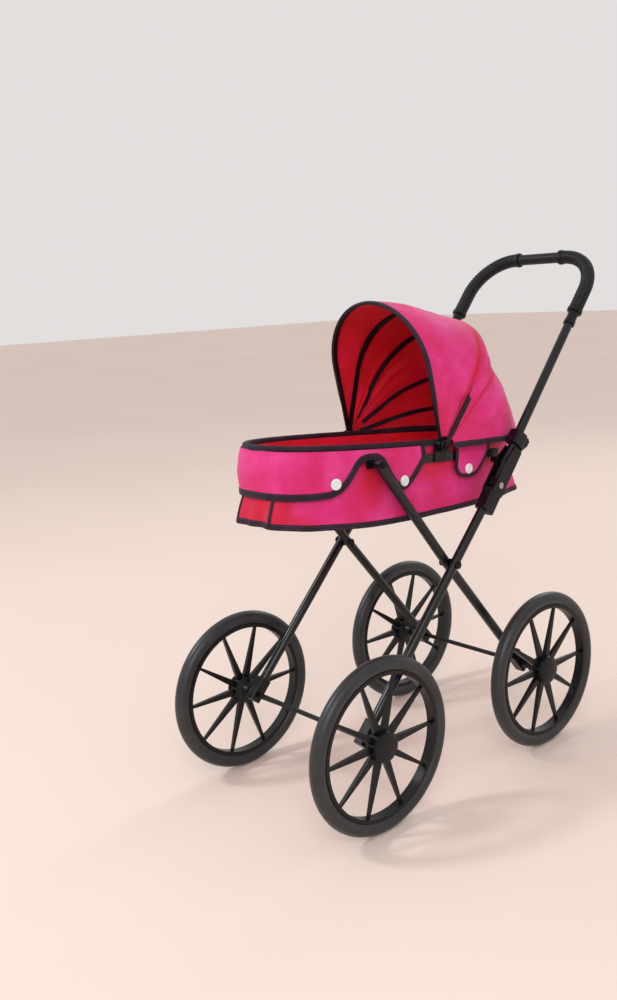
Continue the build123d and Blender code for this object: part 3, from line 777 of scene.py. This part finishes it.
def tab_grid(sign):
    edge_y, edge_h = zip(*TAB_EDGE)
    grid = np.zeros((TAB_COLUMNS, TAB_ROWS + 1, 3))
    for i, y in enumerate(np.linspace(edge_y[0], edge_y[-1], TAB_COLUMNS)):
        drop = np.interp(y, edge_y, edge_h) - TAB_TOP
        for j in range(TAB_ROWS + 1):
            h = TAB_TOP + drop * j / TAB_ROWS
            swell = 0.5 * sin(pi * j / TAB_ROWS) + 0.25 * ripple(bassinet_point(70 * sign, y, h), 0.012, 4.0)
            grid[i, j] = bassinet_point(sign * (TAB_X + swell), y, h)
    return grid


def rear_tabs():
    for name, sign in SIDES:
        grid = tab_grid(sign)
        outward = np.array([float(sign), 0, 0])
        tab = cloth(f"rear_tab_cloth_{name}", grid, outward_normals(grid, outward), TAB_THICKNESS)
        ride(tab, "bassinet")
        if sign > 0:
            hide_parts("rear_tabs")
        edge = resample(side_and_lower_edges(grid), TAB_TAPE_STEPS)
        facing = np.tile(outward, (len(edge), 1))
        edge = edge - facing * 0.4 * MM
        pieces = [on_bassinet(sweep(f"rear_tab_binding_{name}", edge, facing, TAB_TAPE)),
                  on_bassinet(stitch_row(f"rear_tab_stitches_{name}", edge, facing, lift=0.95))]
        declare_sheet(grid)


def snaps():
    """Domed press studs with a ring pressed into the middle."""
    half, foot, head, exponent = VALANCE_LOW
    places = []
    for y, h in VALANCE_SNAPS:
        along = abs(2 * y - foot - head) / (head - foot)
        x = half * (1 - along ** exponent) ** (1 / exponent)
        for sign in (1, -1):
            normal = oval_normal(VALANCE_LOW, sign * x, y)
            places.append((bassinet_point(sign * x, y, h) + normal * SNAP_LIFT * MM, normal))
    x, y, h = TAB_SNAP
    places += [(bassinet_point(sign * x, y, h), (sign, 0, 0)) for sign in (1, -1)]
    studs = revolved("snap_studs", SNAP_PROFILE, places, SNAP)
    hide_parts("snap_buttons")
    ride(studs, "bassinet")


# ---- hood ----
# The cloth's crest and half width are given by angle, and its sides are straight up to the shoulder.

FRONT_ANGLE, SECOND_ANGLE, THIRD_ANGLE, REAR_ANGLE = 100.0, 75.0, 50.0, -3.0
SHOULDER = 80.0
CREST = [(REAR_ANGLE - 1, 172.5), (0, 169.5), (6, 162.5), (13, 156.5), (20, 152.5), (26, 150.0), (30, 147.8),
         (34, 145.6), (37, 144.8), (40, 147.0), (43, 151.5), (46.5, 157.6), (50, 160.2), (53, 158.6),
         (60, 152.0), (67, 147.6), (75, 145.3), (82, 146.2), (90, 149.6), (100, 153.4), (102, 153.6)]
WIDTH = [(REAR_ANGLE - 1, 79.3), (13, 79.2), (26, 78.8), (32, 77.6), (41, 78.9), (50, 78.7), (62, 76.6),
         (75, 74.8), (100, 73.2), (102, 73.2)]
SIDE_CREASES = ((1.6, 43, 1.9), (-1.5, 39.5, 1.8), (1.2, 35.5, 2.2))  # size, angle, width in degrees
HOOD_THICKNESS, HOOD_COLUMNS, HOOD_PITCH = 0.9, 150, 1.1
PANEL_START, REAR_START = 10.0, 11.0
HOOD_CENTRE = hood_point(0, SHOULDER * 0.8, 60)
INNER_TAPES = ((25.0, 30.0), (8.0, 22.0))  # angle, start
FRONT_TAPE, FRONT_TAPE_ANGLE, FRONT_STITCH_START = strip_section(2.6, 1.35), FRONT_ANGLE + 0.6, 60
LOWER_TAPE, LOWER_TAPE_ANGLE = strip_section(3.4, 1.3), REAR_ANGLE + 0.2
SEAM_STRIP, INNER_STRIP = strip_section(2.8, 0.5), strip_section(2.6, 0.5)


def crest_radius(angle):
    angles, radii = zip(*CREST)
    return float(np.mean([np.interp(angle + d, angles, radii) for d in (-1.2, -0.6, 0, 0.6, 1.2)]))


def arch_line(angle, start, count):
    """(x, r) over the cloth at an angle, from its left lower end across the crown to the right."""
    width, crest = float(np.interp(angle, *zip(*WIDTH))), crest_radius(angle)
    legs = [(1.0, r) for r in np.linspace(start, SHOULDER, 20)]
    top = [(cos(a), SHOULDER + (crest - SHOULDER) * sin(a)) for a in np.linspace(0, pi / 2, 40)[1:]]
    pinch = 3.0 * ramp(angle, 38, 6) * ramp(-angle, -70, 10)
    side = [(share * (width - pinch * (1 - ramp(r, 52, 14))), r) for share, r in legs + top]
    return resample(side + [(-x, r) for x, r in side[::-1][1:]], count)


def arch_out(x, r):
    """Outward direction of an arch's cloth, as (x, r)."""
    return unit(np.array([x, max(0.0, r - SHOULDER)]))


def hood_fold_offset(x, r, angle):
    """Folds and slack of the hood's cloth, outward in millimetres."""
    point = hood_point(x, r, angle)
    out = 1.3 * ripple(point, 0.045, 11.0) + 0.45 * ripple(point, 0.016, 12.0)
    if angle < THIRD_ANGLE:
        gather = ramp(-angle, -26, 22) * ripple(point, 0.03, 13.0)
        side = ramp(abs(x), 55, 20)
        creases = sum(size * hump(angle, middle, width) for size, middle, width in SIDE_CREASES)
        low_roll = 1.4 * hump(angle, 17, 4.0) * ramp(r, 40, 30)
        return out + gather * 1.3 * sin(x * 0.16 + r * 0.05) + side * (creases + low_roll)
    dip = 1.4 * hump(angle, 54.2, 1.8) * ramp(-r, -150, 60)
    return out - dip + 0.5 * hump(angle, 88, 12) * sin(r * 0.11)


def hood_painted_shade(x, r, angle):
    """Painted shade: redder along the creases behind the second and third bows, and low down by the front edge."""
    crease = hump(angle, 54.2, 2.1)
    second = 0.8 * ramp(abs(x), 20, 40) * hump(angle, 39.0, 1.5)
    low = 0.55 * ramp(-r, -70, 45) * ramp(angle, 60, 20)
    return max(crease, second, low)


def hood_grid(low_angle, high_angle, start):
    """The cloth between two angles, and its painted shade. Its folds die out at its edges."""
    columns = max(8, int((high_angle - low_angle) / HOOD_PITCH))
    grid = np.zeros((HOOD_COLUMNS + 1, columns + 1, 3))
    shade = np.zeros((HOOD_COLUMNS + 1, columns + 1))
    for j, angle in enumerate(np.linspace(low_angle, high_angle, columns + 1)):
        ease = ramp(min(angle - low_angle, high_angle - angle), 0, 3.0)
        for i, (x, r) in enumerate(arch_line(angle, start, HOOD_COLUMNS)):
            grow = arch_out(x, r) * hood_fold_offset(x, r, angle) * ease * ramp(r, start, 25)
            grid[i, j] = hood_point(x + grow[0], r + grow[1], angle)
            shade[i, j] = hood_painted_shade(x, r, angle)
    return grid, shade


def hood_panel(name, node, angles, start):
    grid, shade = hood_grid(*angles, start)
    # Painted shade along the hood's creases goes into the cloth's fold attribute.
    panel = cloth(name, grid, outward_normals(grid, grid - HOOD_CENTRE), HOOD_THICKNESS, fold=shade)
    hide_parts(node)
    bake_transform(panel)
    declare_sheet(grid)


def arch_path(angle, start, inset, count=260):
    """Points over the arch at an angle, `inset` millimetres inside the cloth's outer face."""
    path, facing = [], []
    for x, r in arch_line(angle, start, count):
        out = arch_out(x, r)
        path.append(hood_point(x - out[0] * inset, r - out[1] * inset, angle))
        facing.append((out[0], out[1] * cos(radians(angle)), out[1] * sin(radians(angle))))
    return np.array(path), np.array(facing)


def hinge_taper(path):
    """Tapes narrow towards the hinge, so that they lie side by side when the hood is folded."""
    r = np.linalg.norm((path - HINGE)[:, 1:], axis=1) / MM
    return 0.32 + 0.68 * ramp(r, 14, 46)


def front_binding():
    path, facing = arch_path(FRONT_TAPE_ANGLE, 8, 0.5)
    front = sweep("hood_front_binding", path, facing, FRONT_TAPE, scale=hinge_taper(path))
    ride(front, "hood_front_bow")
    path, facing = arch_path(FRONT_TAPE_ANGLE, FRONT_STITCH_START, 0.5)
    for k, offset in enumerate((-1.2, 1.2)):
        thread = stitch_row(f"hood_front_stitches_{k}", path, facing, lift=1.3, offset=offset)
        ride(thread, "hood_front_bow")


def bow_seams():
    """Tapes inside the cloth along the second and third bows, and stitches over the third."""
    for name, angle, inset in (("hood_second", SECOND_ANGLE, 1.2), ("hood_third", THIRD_ANGLE, 2.2)):
        path, facing = arch_path(angle, 24, inset)
        seam = sweep(f"{name}_seam", path, facing, SEAM_STRIP, scale=hinge_taper(path))
        ride(seam, f"{name}_bow")
    path, facing = arch_path(THIRD_ANGLE, 66, -0.1)
    thread = stitch_row("hood_third_seam_stitches", path, facing, lift=0.1, material=PINK_THREAD)
    ride(thread, "hood_third_bow")


def rear_tapes():
    """Tapes inside the rear panel, and the band along its lower edge."""
    pieces = []
    for k, (angle, start) in enumerate(INNER_TAPES):
        pieces.append(sweep(f"hood_inner_tape_{k}", *arch_path(angle, start, 1.6), INNER_STRIP))
    path, facing = arch_path(LOWER_TAPE_ANGLE, REAR_START, 0.4, 360)
    pieces.append(sweep("hood_lower_band", path, facing, LOWER_TAPE))
    for k, offset in enumerate((-1.9, 1.9)):
        pieces.append(stitch_row(f"hood_band_stitches_{k}", path, facing, lift=1.25, offset=offset))
    for piece in pieces:
        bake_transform(piece)


def hood():
    hood_panel("hood_cloth_front", "hood_panel_front", (SECOND_ANGLE, FRONT_ANGLE), PANEL_START)
    hood_panel("hood_cloth_middle", "hood_panel_middle", (THIRD_ANGLE, SECOND_ANGLE), PANEL_START)
    hood_panel("hood_cloth_rear", "hood_panel_rear", (REAR_ANGLE, THIRD_ANGLE), REAR_START)
    front_binding()
    bow_seams()
    rear_tapes()


# ---- handle grips ----

LEG_X, REACH, CORNER = 88.2, 315.7, 52.0
GRIP_START, GRIP_END_X, GRIP_BORE, GRIP_SEGMENTS = 231.0, 30.0, 5.05, 28
COLLAR_LENGTH, GROOVE_END, RIB_PITCH = 5.0, 6.2, 3.7
COLLAR_RADIUS, GROOVE_RADIUS, RIB_RADIUS, RIB_HEIGHT = 8.8, 7.0, 7.2, 0.85
SLEEVE_RADIUS, BEAD_HEIGHT = 6.45, 0.35


def grip_line(count):
    """(x, s) along the tube's middle, from the leg round the corner to the crossbar."""
    x, s = LEG_X - CORNER, REACH - CORNER
    corner = [(x + CORNER * cos(a), s + CORNER * sin(a)) for a in np.linspace(0, pi / 2, 90)]
    return resample([(LEG_X, GRIP_START)] + corner + [(GRIP_END_X, REACH)], count)


def rib_radius(distance, total):
    """Collars at both ends and rounded ribs between them."""
    edge = min(distance, total - distance)
    if edge < COLLAR_LENGTH:
        return COLLAR_RADIUS - 0.9 * max(0, (0.8 - edge) / 0.8) ** 2 - 0.5 * max(0, (edge - 4.2) / 0.8)
    if edge < GROOVE_END:
        return GROOVE_RADIUS
    return RIB_RADIUS + RIB_HEIGHT * abs(sin(pi * distance / RIB_PITCH)) ** 0.7


def corner_grips():
    """Ribbed grips round the handle's corners, bored for the tube."""
    normal = unit(np.cross(HANDLE_UP, [1.0, 0, 0]))
    line = grip_line(330)
    along = arc_lengths(line)
    radii = [rib_radius(distance, along[-1]) for distance in along]
    for name, sign in SIDES:
        path = np.array([handle_point(sign * x, s) for x, s in line])
        side = unit(np.cross(unit(np.gradient(path, axis=0)), normal))
        stations = ([(path[0], side[0], GRIP_BORE)] + list(zip(path, side, radii))
                    + [(path[-1], side[-1], GRIP_BORE)])
        rings = [circle_ring(centre, across, normal, radius, GRIP_SEGMENTS)
                 for centre, across, radius in stations]
        faces = ring_faces(len(rings), GRIP_SEGMENTS, capped=False)
        grip = make_object(f"corner_grip_ribbed_{name}", np.array(rings).reshape(-1, 3), faces, [GRIP])
        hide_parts(f"corner_grip_{name}")
        ride(grip, "handle")


def centre_sleeve():
    """Smooth sleeve with a soft bead at each end."""
    reach = GRIP_END_X - 0.1
    profile = [(SLEEVE_RADIUS + BEAD_HEIGHT * hump(GRIP_END_X - abs(x), 1.5, 1.0), x)
               for x in np.linspace(-reach, reach, 121)]
    profile = [(GRIP_BORE, -reach)] + profile + [(GRIP_BORE, reach)]
    sleeve = revolved("centre_sleeve_foam", profile, [(handle_point(0, REACH), (1.0, 0, 0))], GRIP, 40)
    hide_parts("centre_sleeve")
    ride(sleeve, "handle")


# ---- camera, floor and light ----

CAMERA_PLACE, AZIMUTH, ELEVATION, ROLL = (0.7779, -0.78285, 0.5179), 46.97, 10.04, -2.94
LENS, SENSOR, SHIFT, CLIP = 36.28, 36.0, (-0.063, -0.030), (0.05, 50)
FLOOR_REACH, FLOOR_POINTS, FLOOR_HEIGHT, FLOOR_CLOUDS = 14, 41, -0.0002, (1.2, 3.0, 0.5)
FLOOR_COLOURS = ((0.3, (0.84, 0.70, 0.62)), (0.7, (0.87, 0.73, 0.65)))
WORLD_COLOUR, WORLD_STRENGTH = (0.96, 0.92, 0.91, 1), 0.80
LIGHTS = (("key", (-1.0, -1.3, 1.7), 0.32, 13, (0.96, 0.98, 1.0)),
          ("fill", (1.3, -1.2, 1.3), 0.8, 11, (1.0, 0.98, 0.97)),
          ("rim", (-0.6, 1.9, 1.4), 0.7, 5, (0.97, 0.98, 1.0)))
LIT_POINT = Vector((0, 0, 0.3))


def camera():
    azimuth, elevation, roll = radians(AZIMUTH), radians(ELEVATION), radians(ROLL)
    back = Vector((sin(azimuth) * cos(elevation), -cos(azimuth) * cos(elevation), sin(elevation)))
    right = Vector((cos(azimuth), sin(azimuth), 0))
    up = back.cross(right)
    right, up = right * cos(roll) + up * sin(roll), up * cos(roll) - right * sin(roll)
    data = bpy.data.cameras.new("camera")
    data.lens, data.sensor_width = LENS, SENSOR
    data.shift_x, data.shift_y = SHIFT
    data.clip_start, data.clip_end = CLIP
    obj = bpy.data.objects.new("camera", data)
    obj.matrix_world = Matrix.Translation(CAMERA_PLACE) @ Matrix((right, up, back)).transposed().to_4x4()
    bpy.context.scene.collection.objects.link(obj)
    bpy.context.scene.camera = obj


def area_light(name, place, size, power, colour):
    data = bpy.data.lights.new(name, "AREA")
    data.shape, data.size, data.energy, data.color = "DISK", size, power, colour
    obj = bpy.data.objects.new(name, data)
    turn = (LIT_POINT - Vector(place)).to_track_quat("-Z", "Y").to_matrix().to_4x4()
    obj.matrix_world = Matrix.Translation(place) @ turn
    bpy.context.scene.collection.objects.link(obj)


def floor():
    n = Nodes("floor")
    clouds = n.noise(*FLOOR_CLOUDS)
    material = n.surface(n.colours(clouds, *FLOOR_COLOURS), n.spread(clouds, 0.78, 0.88), None, {})
    line = np.linspace(-FLOOR_REACH, FLOOR_REACH, FLOOR_POINTS)
    points = np.array([(x, y, FLOOR_HEIGHT) for y in line for x in line])
    corners = [i * FLOOR_POINTS + j for i in range(FLOOR_POINTS - 1) for j in range(FLOOR_POINTS - 1)]
    faces = [(a, a + 1, a + 1 + FLOOR_POINTS, a + FLOOR_POINTS) for a in corners]
    make_object("floor", points, faces, [material], points[:, :2])


def studio():
    floor()
    world = bpy.data.worlds.new("studio")
    bpy.context.scene.world = world
    world.use_nodes = True
    background = world.node_tree.nodes["Background"]
    background.inputs[0].default_value = WORLD_COLOUR
    background.inputs[1].default_value = WORLD_STRENGTH
    for light in LIGHTS:
        area_light(*light)
    bpy.context.scene.view_settings.view_transform = "Standard"


paint_cad_nodes()
rim_binding()
tub()
base_board()
skirt()
valance()
rear_tabs()
snaps()
hood()
corner_grips()
centre_sleeve()
studio()
camera()
